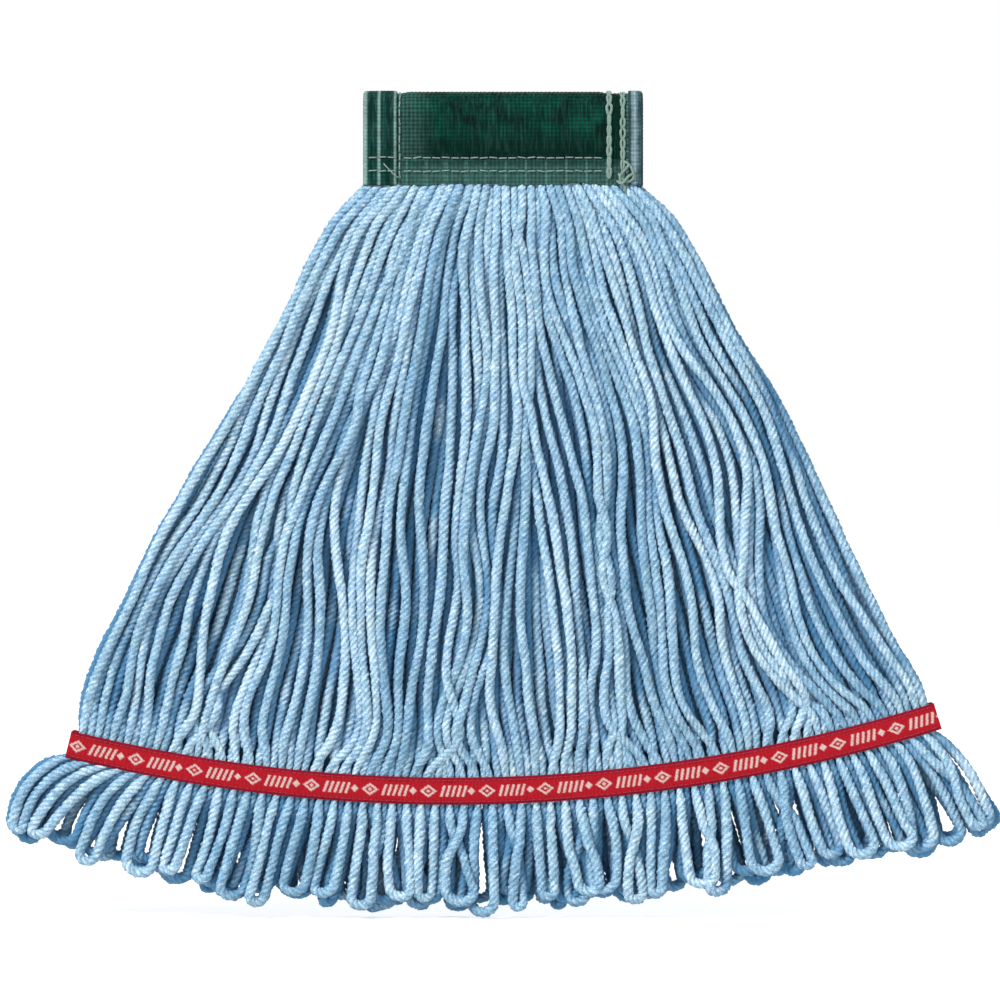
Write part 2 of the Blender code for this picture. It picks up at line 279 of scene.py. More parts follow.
LOOKS = {
    "yarn": yarn_material(),
    "mesh": mesh_material("headband mesh", (0.001, 0.073, 0.043), (0.001, 0.01, 0.007),
                          (0.12, 0.25, 0.23)),
    "lining": mesh_material("headband lining", (0.002, 0.06, 0.038), (0.001, 0.014, 0.009),
                            (0.1, 0.22, 0.19)),
    "hem": mesh_material("headband hem", (0.008, 0.092, 0.068), (0.002, 0.02, 0.016),
                         (0.3, 0.43, 0.39)),
    "selvage": mesh_material("selvage", (0.11, 0.2, 0.23), (0.012, 0.036, 0.045),
                             (0.3, 0.4, 0.42)),
    "thread": thread_material("seam thread", (0.1, 0.17, 0.14), (0.23, 0.32, 0.27)),
    "tape": tape_material(),
    "tape_thread": thread_material("tape thread", (0.22, 0.003, 0.014), (0.42, 0.02, 0.04)),
}


# ---- Meshes

def put(name, data):
    """A new object in the scene."""
    made = bpy.data.objects.new(name, data)
    bpy.context.collection.objects.link(made)
    return made


class Mesh:
    """Points and faces gathered from many shells and made into one object."""

    def __init__(self):
        self.points, self.quads, self.caps, self.marks, self.uvs = ([] for _ in range(5))
        self.count = 0

    def add(self, points, quads, caps=(), marks=None, uvs=()):
        self.points.append(points)
        self.quads.append(quads + self.count)
        self.caps += [[i + self.count for i in cap] for cap in caps]
        self.marks.append(np.zeros((len(points), 3)) if marks is None else marks)
        self.uvs += uvs
        self.count += len(points)

    def build(self, name, look, mark="yarn"):
        """The object. mark names the colour attribute that its look reads."""
        points = np.concatenate(self.points).astype(np.float32)
        quads = np.concatenate(self.quads).astype(np.int32)
        caps = np.array([i for cap in self.caps for i in cap], np.int32)
        sizes = np.array([4] * len(quads) + [len(cap) for cap in self.caps], np.int32)
        mesh = bpy.data.meshes.new(name)
        mesh.vertices.add(len(points))
        mesh.vertices.foreach_set("co", points.ravel())
        mesh.loops.add(int(sizes.sum()))
        mesh.loops.foreach_set("vertex_index", np.concatenate([quads.ravel(), caps]))
        mesh.polygons.add(len(sizes))
        mesh.polygons.foreach_set("loop_start", np.cumsum(sizes) - sizes)
        mesh.polygons.foreach_set("use_smooth", np.ones(len(sizes), bool))
        mesh.update(calc_edges=True)
        colours = np.ones((len(points), 4), np.float32)
        colours[:, :3] = np.concatenate(self.marks)
        for layer, kind, key, values in ((mark, "FLOAT_COLOR", "color", colours),
                                         ("rest", "FLOAT_VECTOR", "vector", points)):
            mesh.attributes.new(layer, kind, "POINT").data.foreach_set(key, values.ravel())
        if self.uvs:
            corners = np.concatenate(self.uvs).astype(np.float32)
            spare = np.zeros((len(caps), 2), np.float32)
            layer = mesh.uv_layers.new(name=BAKE_MAP)
            layer.data.foreach_set("uv", np.concatenate([corners, spare]).ravel())
        mesh.materials.append(LOOKS[look])
        return put(name, mesh)


def unit(v):
    return v / np.maximum(np.linalg.norm(v, axis=-1, keepdims=True), 1e-12)


def distances(path):
    """How far along a path each of its points is."""
    return np.concatenate([[0], np.cumsum(np.linalg.norm(np.diff(path, axis=0), axis=1))])


def curve_through(points, step):
    """Points a step apart along a smooth curve through the given ones. Columns past the third,
    such as a yarn's radius, go along with them."""
    ends = np.concatenate([[2 * points[0] - points[1]], points, [2 * points[-1] - points[-2]]])
    a, b, c, d = ends[:-3], ends[1:-2], ends[2:-1], ends[3:]
    t = np.arange(8)[:, None] / 8
    fine = 0.5 * (2 * b[:, None] + (c - a)[:, None] * t
                  + (2 * a - 5 * b + 4 * c - d)[:, None] * t ** 2
                  + (3 * b - a - 3 * c + d)[:, None] * t ** 3)
    fine = np.concatenate([fine.reshape(-1, points.shape[1]), points[-1:]])
    along = distances(fine[:, :3])
    places = np.linspace(0, along[-1], max(round(along[-1] / step) + 1, 4))
    return np.stack([np.interp(places, along, fine[:, k]) for k in range(fine.shape[1])], 1)


def frames(path):
    """For each point of a path, two directions square to it that don't twist along it."""
    tangent = unit(np.gradient(path, axis=0))
    side = np.array((0, -1, 0) if abs(tangent[0][1]) < 0.9 else (1, 0, 0))
    sides = np.empty_like(path)
    for k, t in enumerate(tangent):
        side = side - t * (side @ t)
        side = side / math.sqrt(side @ side)
        sides[k] = side
    return sides, np.cross(tangent, sides)


def ring_faces(rings, sides):
    """The quads along a tube and the caps at its two ends."""
    here = np.arange(rings - 1)[:, None] * sides + np.arange(sides)
    there = np.roll(here, -1, axis=1)
    last = rings * sides - 1
    return (np.stack([here, here + sides, there + sides, there], -1).reshape(-1, 4),
            [list(range(sides)), list(range(last, last - sides, -1))])


def yarn(mesh, rows, kink, free, place, places):
    """Adds a four-ply yarn, closed at both ends, thick and thin along it.

    rows begin with x, y, z, radius, outer face, inner face and shade. The faces are the y of the
    yarn's faces round the path: a point far below the face that it looks out of gets painted shade.
    The yarn strays by up to kink where free is 1. place of places is its strip of the bake map."""
    n, whole = len(rows), len(rows) * RING_STEP
    stray = (wander(n, max(int(whole / 0.02), 3), 3).T - 0.5) * 2 * kink
    path = rows[:, :3] + stray * free[:, None]
    radius = rows[:, 3] * (0.9 + 0.22 * wander(n, max(int(whole / 0.014), 3)))
    a, b = frames(path)
    along = distances(path)
    turn = random.random() * 6.28 + 2 * math.pi * along / TWIST_LENGTH
    turn += 4.0 * wander(n, max(int(along[-1] / 0.03), 2))
    crown = np.where(np.arange(RING_POINTS) % 3 == 0, GROOVE, 1.0)
    angle = turn[:, None] + np.arange(RING_POINTS) * 2 * math.pi / RING_POINTS
    reach = radius[:, None] * crown * (1 + FLUFF * random.normal(0, 1, (n, RING_POINTS)))
    spoke = a[:, None] * np.cos(angle)[..., None] + b[:, None] * np.sin(angle)[..., None]
    ring = path[:, None] + spoke * reach[..., None]
    side = math.copysign(1, path[n // 2, 1])
    outer, inner = rows[:, 4:5], rows[:, 5:6]
    # Painted shade: the third colour mark darkens with each point's depth below the face that it
    # looks out of, more inside a half.
    looks_out = ease((spoke[..., 1] * side + 0.4) / 0.8)
    depth = side * ring[..., 1]
    depth = looks_out * (outer - depth) + (1 - looks_out) * (depth - inner + INSIDE_SHADE_DEPTH)
    depth = depth / np.clip((outer - inner) / FULL_THICKNESS, 0.6, 1)
    marks = np.empty((n, RING_POINTS, 3))
    marks[..., 0] = crown > 0.99
    marks[..., 1] = np.clip(rows[:, 6] + 0.25 * (wander(n, 12) - 0.5), 0, 1)[:, None]
    marks[..., 2] = 1 - PAINTED_SHADE_MOST * ease((depth - PAINTED_SHADE_FROM) / PAINTED_SHADE_OVER)
    u = np.linspace((place + 0.04) / places, (place + 0.96) / places, RING_POINTS + 1)
    v = along / along[-1]
    i, j = np.indices((n - 1, RING_POINTS))
    corners = (0, 0), (0, 1), (1, 1), (1, 0)
    uv = np.stack([np.stack([u[j + p], v[i + q]], -1) for p, q in corners], 2)
    mesh.add(ring.reshape(-1, 3), *ring_faces(n, RING_POINTS), marks.reshape(-1, 3),
             [uv.reshape(-1, 2)])


def thread(mesh, path, radius, sides=6):
    """A plain thin thread along a path, closed and narrower at both ends."""
    n = len(path)
    a, b = frames(path)
    angle = np.arange(sides) * 2 * math.pi / sides
    size = np.full(n, radius)
    size[[0, -1]] *= 0.45
    ring = (path[:, None] + a[:, None] * (size[:, None] * np.cos(angle))[..., None]
            + b[:, None] * (size[:, None] * np.sin(angle))[..., None])
    mesh.add(ring.reshape(-1, 3), *ring_faces(n, sides))


def shell(name, outer, inner, marks, look, mark="weave"):
    """A piece that is a closed sheet between two grids of points, rows by columns by 3."""
    rows, columns = outer.shape[:2]
    index = np.arange(rows * columns).reshape(rows, columns)
    face = np.stack([index[:-1, :-1], index[1:, :-1], index[1:, 1:], index[:-1, 1:]], -1)
    face = face.reshape(-1, 4)
    rim = np.concatenate([index[0, :-1], index[:-1, -1], index[-1, :0:-1], index[:0:-1, 0]])
    ahead = np.roll(rim, -1)
    edge = np.stack([rim, ahead, ahead + index.size, rim + index.size], -1)
    quads = np.concatenate([face, face[:, ::-1] + index.size, edge])
    r, c = rows // 2 - 1, columns // 2 - 1
    normal = np.cross(outer[r + 1, c] - outer[r, c], outer[r, c + 1] - outer[r, c])
    if normal @ (outer[r, c] - inner[r, c]) < 0:  # the faces are wound towards the inner grid
        quads = quads[:, ::-1]
    mesh = Mesh()
    mesh.add(np.concatenate([outer, inner]).reshape(-1, 3), quads, (),
             np.concatenate([marks, marks]).reshape(-1, 3))
    return mesh.build(name, look, mark)


# ---- Smooth chance

def ease(t):
    """0 up to t = 0, 1 from t = 1 and a smooth step between them."""
    t = np.clip(t, 0, 1)
    return t * t * (3 - 2 * t)


def spline(place, most):
    """The first of the four knots round each place from 0 to most, and the knots' weights."""
    place = np.clip(place, 0, most - 1e-6)
    k = place.astype(int)
    f = place - k
    return k, np.stack([(1 - f) ** 3, 3 * f ** 3 - 6 * f ** 2 + 4,
                        -3 * f ** 3 + 3 * f ** 2 + 3 * f + 1, f ** 3]) / 6


def wander(length, knots, *count):
    """A smooth random line from 0 to 1 with about that many knots, or count of them."""
    values = random.random((*count, knots + 3))
    k, w = spline(np.linspace(0, knots - 1e-6, length), knots)
    return sum(values[..., k + q] * w[q] for q in range(4))


def field(u, t, across, down, chance=random):
    """A smooth random field from -1 to 1 at u from -1 to 1 and t from 0 to 1."""
    values = chance.random((across + 4, down + 4)) * 2 - 1
    ku, wu = spline((u + 1) / 2 * across, across)
    kt, wt = spline(t * down, down)
    return 2.2 * sum(values[ku + p, kt + q] * wu[p] * wt[q] for p in range(4) for q in range(4))


# ---- Where the yarn lies

def tape_point(x, distance):
    """The point at a distance above the tail band's middle line, square to it, as (x, z)."""
    a = np.arctan(2 * TAPE_CURVE * (x - TAPE_LOW_X))
    height = TAPE_LOW_Z + TAPE_CURVE * (x - TAPE_LOW_X) ** 2
    return x - distance * np.sin(a), height + distance * np.cos(a)


def fan_width(t):
    """The fan's half width at a share of its drop, with its corners eased."""
    spread = np.array((-0.5, 0, 0.5)) * np.clip(t, 0, 0.03)[..., None]
    return np.interp(t[..., None] + spread, FAN_SHARES, FAN_HALF_WIDTHS).mean(-1)


def fan_point(u, t):
    """Where a run at u from -1 to 1 is at a share t of the fan's drop, as (x, z)."""
    foot_x, foot_z = tape_point(u * FAN_FOOT, -TAPE_WIDTH / 2)
    lean = -0.0035 * ease((t - 0.35) / 0.25) * (1 - ease((t - 0.8) / 0.16))
    bulge = ease((t - 0.5) / 0.16) * (1 - ease((t - 0.84) / 0.13))
    lean = lean - 0.0042 * bulge * np.clip(-u, 0, 1) ** 2
    return (u * fan_width(t) + (foot_x - u * FAN_FOOT) * np.clip(t, 0, 1) + lean,
            -BAND_DROP + (foot_z + BAND_DROP) * t)


def fringe_point(u, reach):
    """Where a run at u is at a reach below the tail band's lower edge, as (x, z)."""
    x, z = tape_point(u * FAN_FOOT, -TAPE_WIDTH / 2)
    slope = np.arctan(2 * TAPE_CURVE * (u * FAN_FOOT - TAPE_LOW_X))
    flare = np.where(u < 0, FLARE[-1], FLARE[1])
    lean = flare * u ** 3 * (1 + abs(u)) / 2 + slope
    corner = ease((abs(u) - 0.72) / 0.28) * np.where(u < 0, 0.0125, 0.003)
    bow = np.sin(np.pi * np.clip(reach / LOOP_LENGTH, 0, 1) ** 0.75) * corner
    return x + reach * np.sin(lean) + np.sign(u) * bow, z - reach * np.cos(lean) + 0.4 * bow


def spacing(place, u, t):
    """How many metres apart two runs lie, square to them, for each unit of u."""
    step = 1e-3
    across = np.subtract(place(u + step, t), place(u - step, t)) / (2 * step)
    along = np.subtract(place(u, t + step), place(u, t - step))
    along = along / np.linalg.norm(along, axis=0)
    return abs(across[0] * along[1] - across[1] * along[0])


def settle(u, y, metric, radius, low, high, rounds, most=np.inf):
    """Lets the runs push each other apart in every cross-section and lie smoothly along.

    u and y are runs by stations: the place across, and the distance from the middle plane. They
    start where each run tends to be. radius is its size, low and high the y that it stays
    between and most the furthest u. The pull back to the start fades, so that at the end hardly
    any two runs overlap. Where two runs cross, the one that tends further out goes over."""
    aims = u.copy(), y.copy()
    rank = 0.6 * aims[1].mean(axis=1, keepdims=True) + 0 * u
    columns = np.arange(u.shape[1])
    limit = 0.0012  # the furthest that one round moves a run
    for k in range(rounds):
        pull = 0.12 * (1 - 0.9 * k / rounds)
        for line, aim in zip((u, y), aims):
            line[:, 1:-1] += 0.24 * ((line[:, :-2] + line[:, 2:]) / 2 - line[:, 1:-1])
            line += pull * (aim - line)
        order = np.argsort(u, axis=0)
        su, sy, mu, size, own = (v[order, columns] for v in (u, y, metric, radius, rank))
        push_u, push_y, moved_u, moved_y = np.zeros((4, *u.shape))
        for q in range(1, 12):
            du = (su[q:] - su[:-q]) * (mu[q:] + mu[:-q]) / 2
            dy = sy[q:] - sy[:-q]
            gap = np.sqrt(du * du + dy * dy) + 1e-9
            short = np.clip(SQUEEZE * (size[q:] + size[:-q]) - gap, 0, None) / gap * 0.42
            push_u[q:] += du * short
            push_u[:-q] -= du * short
            dy += own[q:] - own[:-q]
            push_y[q:] += dy * short
            push_y[:-q] -= dy * short
        np.put_along_axis(moved_u, order, push_u, axis=0)
        np.put_along_axis(moved_y, order, push_y, axis=0)
        y += np.clip(moved_y, -limit, limit)
        u += np.clip(moved_u, -limit, limit) / metric
        y[:] = np.clip(y, low + radius, np.maximum(high - radius, low + radius))
        u[:] = np.clip(u, -most, most)
    for line in (u, y, u, y, u):
        line[:, 1:-1] = (line[:, :-2] + 2 * line[:, 1:-1] + line[:, 2:]) / 4


def yarn_faces(u, y, metric, radius):
    """The y of the outer and inner face of the yarns round each run, at each station."""
    columns = np.arange(u.shape[1])
    order = np.argsort(u, axis=0)
    su, mu = u[order, columns], metric[order, columns]
    faces = np.empty((*u.shape, 2))
    for k, further in enumerate((np.maximum, np.minimum)):
        own = (y + (radius, -radius)[k])[order, columns]
        face = own.copy()
        for q in range(1, 10):
            near = (su[q:] - su[:-q]) * mu[q:] < NEAR
            face[q:] = np.where(near, further(face[q:], own[:-q]), face[q:])
            face[:-q] = np.where(near, further(face[:-q], own[q:]), face[:-q])
        np.put_along_axis(faces[..., k], order, face, axis=0)
    faces[:, 1:-1] = (faces[:, :-2] + faces[:, 1:-1] + faces[:, 2:]) / 3
    return faces


# The four layers that the runs take in turn: how far they are from the middle plane under the
# headband, in the fan and at the tail band. Layers 0 and 2 are the outer ones below the headband.
LAYER_TOP = np.array([0.0094, 0.0045, 0.007, 0.0025])
LAYER_FAN = np.array([0.012, 0.005, 0.0086, 0.0034])
LAYER_TAIL = np.array([0.0058, 0.0029, 0.0058, 0.0029])
LAYER_SIZE = np.array([0.92, 0.64, 0.72, 0.64])  # the radius at the top, as a share of the yarn's
TAPE_TOP = 0.955  # the share of the fan's drop at which the tail band's upper edge lies

# How far the runs stray sideways, as shares of the fan's half width: a few at a time everywhere,
# above the tail band and at the sides, many at a time in two sizes, and each by itself.
BUNCHING, TAIL_BUNCHING, SIDE_BUNCHING = 0.068, 0.015, 0.014
SWEEP, SMALL_SWEEP = 0.026, 0.012
DRIFT, LOOSE_RUNS = 0.042, 0.1  # some runs drift further than the others
STRAY_OUT, STRAY_IN = 0.0085, 0.002  # in depth, in metres, for the outer and the inner runs
KINK_OUT, KINK_IN, KINK_LOOP = 0.0013, 0.0006, 0.0011  # a single yarn's small bends


def lay_runs(side):
    """The runs of one half, from inside the headband to the tail band's lower edge."""
    t = np.concatenate([[-0.035, -0.022, -0.01, 0.0, 0.008, 0.018, 0.03],
                        np.linspace(0.044, 1.0, 66)])
    layer = (np.arange(RUNS) + (side > 0)) % 4
    outer = (layer % 2 == 0)[:, None]
    layer = layer[:, None]
    u0, t0 = np.meshgrid((np.arange(RUNS) + 0.5) / RUNS * 2 - 1, t, indexing="ij")
    inside = np.clip(t0, 0, 1)
    free = ease(t0 / 0.08) * (1 - ease((t0 - 0.892) / 0.053))
    free = free * (1 - abs(u0) ** 14)
    loose = 1 + 1.6 * (random.random(RUNS) < LOOSE_RUNS)[:, None]
    grip = 1.15 - 0.4 * ease(inside / 0.4) + 0.75 * inside ** 3
    bunch = BUNCHING * field(u0, inside, 25, 6) * grip
    beat = 2 * np.pi * (7.9 * u0 + 0.8 * field(u0, 0 * inside + 0.5, 9, 1))
    bunch += TAIL_BUNCHING * np.sin(beat) * ease((t0 - 0.72) / 0.14)
    sides = ease((abs(u0) - 0.45) / 0.35) * (1 - ease((t0 - 0.2) / 0.25))
    bunch += SIDE_BUNCHING * np.sin(2 * np.pi * 6.3 * abs(u0) + 1.0) * sides
    shared = np.random.default_rng(4)  # the same sweep in both halves, so that few gaps line up
    sweep = SWEEP * field(u0, inside, 8, 3, shared)
    sweep = sweep + SMALL_SWEEP * field(u0, inside, 16, 9, shared)
    drift = (wander(len(t), 9, RUNS) - 0.5) * DRIFT * loose
    drift = drift * (1 - ease((t0 - 0.7) / 0.2))
    u = u0 + free * (sweep + np.where(outer, bunch + drift, 0.15 * drift))
    tail = ease((t0 - 0.6) / 0.36)
    leave = ease((t0 - 0.004) / 0.1)
    y = LAYER_TOP[layer] * (1 - leave) + LAYER_FAN[layer] * leave
    y = y * (1 - tail) + LAYER_TAIL[layer] * tail
    y += (wander(len(t), 9, RUNS) - 0.5) * np.where(outer, STRAY_OUT, STRAY_IN) * free
    metric = spacing(fan_point, u0, t0)
    grown = ease((t0 + 0.004) / 0.05)
    radius = YARN_RADIUS * (LAYER_SIZE[layer] * (1 - grown) + grown)
    radius += np.where(outer, 0, 0.0003) * ease((t0 - 0.5) / 0.2)
    radius -= 0.00085 * ease((t0 - TAPE_TOP + 0.03) / 0.03)
    low = np.interp(t, (-0.035, 0.0, 0.01, 0.9, TAPE_TOP - 0.01),
                    (0.0022, 0.0012, 0.0005, 0.0005, 0.0019))
    high = np.interp(t, (-0.01, 0.002, 0.012, 0.05, 0.4, 0.85, TAPE_TOP - 0.006, 1),
                     (0.0105, 0.0108, 0.0145, 0.0178, 0.017, 0.015, 0.0076, 0.0076))
    most = np.minimum((np.interp(t, (0.004, 0.05), (0.0812, 0.3)) - radius) / fan_width(t), 1.003)
    settle(u, y, metric, radius, low, high, 160, most)
    return u, y, t, radius, yarn_faces(u, y, metric, radius)


def dye_and_painted_clump_shade(u, t, across, down):
    """How pale each run is along it, from 0 to 1: its own dye, and a painted shade that clumps
    share, whole clumps painted lighter or darker.
    """
    shared = field(u, t + 0 * u, across, down)
    return np.clip(0.5 + 0.2 * shared + 0.6 * (random.random(len(u))[:, None] - 0.5), 0, 1)


def fan(half, side):
    """The runs of one half as five pieces, one for each CAD bundle, and the runs' lower ends."""
    u, y, t, radius, faces = lay_runs(side)
    shift = int(side > 0)  # the outer layers' runs are even at the front and odd at the back
    # Painted shade: the runs are painted darker towards the fan's sides and near its top.
    shade = dye_and_painted_clump_shade(u, np.clip(t, 0, 1), 30, 5) * (1 - 0.22 * u ** 2)
    shade = shade * (0.75 + 0.25 * ease(t / 0.3))
    x, z = fan_point(u, t)
    rows = np.dstack([x, side * y, z, radius, faces, shade, t + 0 * u])
    pieces, per_piece = [], RUNS // SEGMENTS
    for k in range(SEGMENTS):
        mesh = Mesh()
        for j in range(per_piece):
            i = k * per_piece + j
            run = curve_through(rows[i], RING_STEP)
            free = ease((run[:, 7] - 0.01) / 0.06)
            free *= 1 - ease((run[:, 7] - TAPE_TOP + 0.04) / 0.03)
            yarn(mesh, run, (KINK_IN, KINK_OUT)[i % 2 == shift], free, j, per_piece)
        piece = mesh.build(f"fan_yarn_{half}_{k + 1}", "yarn")
        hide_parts(f"yarn_bundle_{half}_{k + 1}")
        pieces.append(piece)
    return pieces, u[:, -1], y[:, -1]


def fringe(half, side, foot_u, foot_y):
    """The loops of one half as five pieces, one for each CAD stretch of fringe.

    A loop joins two runs of the same layer, which are two runs apart."""
    shift = int(side > 0)
    first = np.array([4 * n + q for n in range(RUNS // 4) for q in (0, 1)])
    ends = np.stack([first, first + 2])
    loops, stations = len(first), 18
    r = np.linspace(-0.16, 1.0, stations)
    below = np.clip(r, 0, 1)
    foot = (foot_u[ends[0]] + foot_u[ends[1]]) / 2
    u0, r0 = np.meshgrid(foot, r, indexing="ij")
    metric = spacing(fringe_point, u0, np.clip(r0, 0, 1) * LOOP_LENGTH)
    half_foot = (foot_u[ends[1]] - foot_u[ends[0]])[:, None] / 2 * metric
    half_end = random.uniform(0.003, 0.0088, loops)[:, None]
    open_up = ease((r - 0.05) / 0.75)
    reach = half_foot * (1 - open_up) + half_end * open_up
    turn = random.normal(0, 0.42, loops) + np.pi * (random.random(loops) < 0.14)
    turn = turn[:, None] * ease(r / 0.9)
    lean = random.normal(0, 0.018, loops) + 0.02 * field(foot, 0 * foot + 0.5, 12, 1)
    outer = ((first + shift) % 2 == 0)[:, None]
    middle = u0 + lean[:, None] * below ** 1.3 * (1 - 0.6 * u0 ** 6)
    middle += (wander(stations, 3, loops) - 0.5) * 0.02 * below
    depth = np.where(outer, 0.0088, 0.0036) + random.normal(0, 0.0005, loops)[:, None]
    u, y, wide, down = np.empty((4, RUNS, stations))
    for leg, sign in zip(ends, (-1, 1)):
        u[leg] = middle + sign * reach * np.cos(turn) / metric
        y[leg] = depth + sign * reach * np.sin(turn) * 0.7
    wide[ends] = metric
    radius = np.tile(YARN_RADIUS * 1.05 - 0.0011 * (1 - ease(r / 0.16)), (RUNS, 1))
    start = 1 - ease((r + 0.01) / 0.22)
    u += (foot_u[:, None] - u) * start
    y += (foot_y[:, None] - y) * start
    low = np.interp(r, (0.02, 0.12), (0.0019, 0.0005))
    high = np.interp(r, (0.03, 0.09, 0.3), (0.0075, 0.01, 0.014))
    settle(u, y, wide, radius, low, high, 90)
    faces = yarn_faces(u, y, wide, radius)
    # Painted shade: the loops' outer face is counted a little further out, so that they are painted
    # darker, and their paleness is painted down by 0.88.
    faces[..., 0] += 0.0006
    shade = 0.88 * dye_and_painted_clump_shade(u, below, 30, 1)
    length = LOOP_LENGTH * random.uniform(0.9, 1.05, loops) - 0.9 * half_end[:, 0]
    length += np.where(outer[:, 0], 0, -0.002) + 0.008 * ease((foot - 0.74) / 0.14)
    length -= 0.0035 * ease((-foot - 0.55) / 0.2)
    down[ends] = r * length[:, None]
    x, z = fringe_point(u, down)
    rows = np.dstack([x, side * y, z, radius, faces, shade])
    per_piece = loops // SEGMENTS
    for k in range(SEGMENTS):
        mesh = Mesh()
        for j in range(per_piece):
            legs = rows[ends[:, k * per_piece + j]]
            loop = np.concatenate([legs[0], round_end(*legs), legs[1][::-1]])
            loop = curve_through(loop, RING_STEP)
            to_end = np.minimum(np.arange(len(loop)), np.arange(len(loop))[::-1]) * RING_STEP
            yarn(mesh, loop, KINK_LOOP, ease((to_end - 0.012) / 0.012), j, per_piece)
        piece = mesh.build(f"fringe_yarn_{half}_{k + 1}", "yarn")
        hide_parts(f"loop_fringe_{half}_{k + 1}")
        yield piece


def round_end(leg_a, leg_b):
    """The turn between a loop's two legs: half an ellipse at least as deep as it is wide."""
    rows = np.tile((leg_a[-1] + leg_b[-1]) / 2, (7, 1))
    half = (leg_b[-1, :3] - leg_a[-1, :3]) / 2
    width = max(np.linalg.norm(half), 1e-6)
    least = 1.02 * YARN_RADIUS
    half, width = half * max(1, least / width), max(width, least)
    down = unit(leg_a[-1, :3] - leg_a[-3, :3] + leg_b[-1, :3] - leg_b[-3, :3])
    angle = np.linspace(0, math.pi, 9)[1:-1, None]
    rows[:, :3] += down * np.sin(angle) * width * 0.9 - half * np.cos(angle)
    return rows


# ---- Headband

def puff(x, z):
    """How far the padded yarn bulges the headband at a point of a leaf."""
    across = ease(np.minimum(x - SEAM_X, CHAIN_X[0] - x) / 0.006)
    down = ease((z - ROW_Z[0]) / 0.006)
    quilt = 0.35 * ease((ROW_Z[0] - z) / 0.002) * ease((z - ROW_Z[1]) / 0.002)
    return across * (0.0009 * down + 0.0009 * quilt)


def band_points(side, x, p, off=0.0, inner=False):
    """Points off one face of the headband: p runs from the crown down to the lower edge.

    The inner face narrows from the bar's slot to the pinched lower edge."""
    drop = np.clip(p - FOLD_LENGTH, 0, None)
    if inner:
        share = np.clip(drop / BAND_DROP, 0, 1.2)
        radius = BAR_SLOT_RADIUS + (PINCH - BAR_SLOT_RADIUS) * share + off
    else:
        radius = COVER_RADIUS + off + puff(x, -drop)
    angle = np.clip(p, 0, FOLD_LENGTH) / COVER_RADIUS
    z = np.where(p <= FOLD_LENGTH, radius * np.cos(angle), -drop)
    return np.stack([x + 0 * z, side * radius * np.sin(angle), z], -1)


def band_grid(end, length, columns, rows):
    """p from the crown down and x from -end to end, as two grids."""
    return np.meshgrid(np.linspace(0, length, rows), np.linspace(-end, end, columns),
                       indexing="ij")


def weave(x, p, pitch, depth):
    """Relief of a plain weave and how high each point stands, from 0 to 1."""
    a, b = (abs(np.sin(v / pitch * math.pi)) for v in (x, p))
    over = (np.floor(x / pitch) + np.floor(p / pitch)) % 2 == 0
    high = np.maximum(a * (0.45 + 0.55 * over * b), b * (0.45 + 0.55 * ~over * a))
    return depth * (high - 0.6), np.clip(high * 1.1 - 0.1, 0, 1)


def cover(half, side):
    """Half of the headband's outer mesh, from the crown to the lower edge, which waves a little."""
    end = BAND_END - 0.0009
    p, x = band_grid(end, BAND_LENGTH, 276, 110)
    p = p + (p / BAND_LENGTH) ** 6 * (0.0007 * np.sin(x * 95 + 0.6) + 0.0004 * np.sin(x * 240))
    relief, high = weave(x, p, 0.0024, 0.00045)
    drop = p - FOLD_LENGTH
    row = drop + ROW_Z[0]  # the distance below the upper row of stitches
    # Darker bands above the upper row of stitches, where the padded cloth dips to it, and between
    # the two rows: partly painted shade, partly the mesh's own darker tone.
    dip_shade = ease((drop - 0.011) / 0.009) * (1 - ease((row + 0.001) / 0.002))
    between = ease((row - 0.001) / 0.002)
    between *= ease((-ROW_Z[1] - 0.002 - drop) / 0.003)
    inside = ease((x - SEAM_X) / 0.004) * ease((CHAIN_X[0] - x) / 0.004)
    dark = (dip_shade + 0.7 * between) * inside
    dark += abs(x - sum(CHAIN_X) / 2) < 0.0025
    lower = ease((row - 0.0005) / 0.002)
    ends = (abs((x + 0.004) % 0.0118 - 0.0059) < 0.0007) * lower
    pale = lower * (0.12 + 0.3 * high) * (1 - 0.7 * between) + 0.5 * ends * high
    pale += 0.34 * high * (1 - ease((x - SEAM_X - 0.006) / 0.016)) * (1 - lower)
    pale += 0.75 * high * ease((x - CHAIN_X[1] - 0.0005) / 0.0015)
    marks = np.clip(np.stack([high, dark, pale], -1), 0, 1)
    piece = shell(f"cover_{half}", band_points(side, x, p, relief),
                  band_points(side, x, p, -0.0009), marks, "mesh")
    return piece


def lining(half, side):
    """Half of the headband's inner mesh."""
    end, length = BAND_END - 0.0009, BAND_LENGTH - 0.0002
    p, x = band_grid(end, length, 184, 74)
    relief, high = weave(x, p, 0.0036, 0.0003)
    piece = shell(f"lining_{half}", band_points(side, x, p, 0.0003 - relief, True),
                  band_points(side, x, p, 0.0011, True), high[..., None] * (1, 0, 0), "lining")
    return piece


def pressed_core(half, side):
    """The yarn inside the headband, pressed flat: ridges that run over the fold."""
    p, x = band_grid(BAND_END - 0.0012, BAND_LENGTH - 0.006, 241, 40)
    crown = abs(np.sin(x / 0.0046 * math.pi))
    # Painted shade: the third mark, 0.5, paints the pressed yarn half in shade; its ridges get the
    # painted groove shade.
    marks = np.stack([crown, 0.5 + 0 * crown, 0.5 + 0 * crown], -1)
    piece = shell(f"pressed_yarn_{half}", band_points(side, x, p, -0.0017 + 0.0005 * crown),
                  band_points(side, x, p, 0.0016, True), marks, "yarn", "yarn")
    return piece


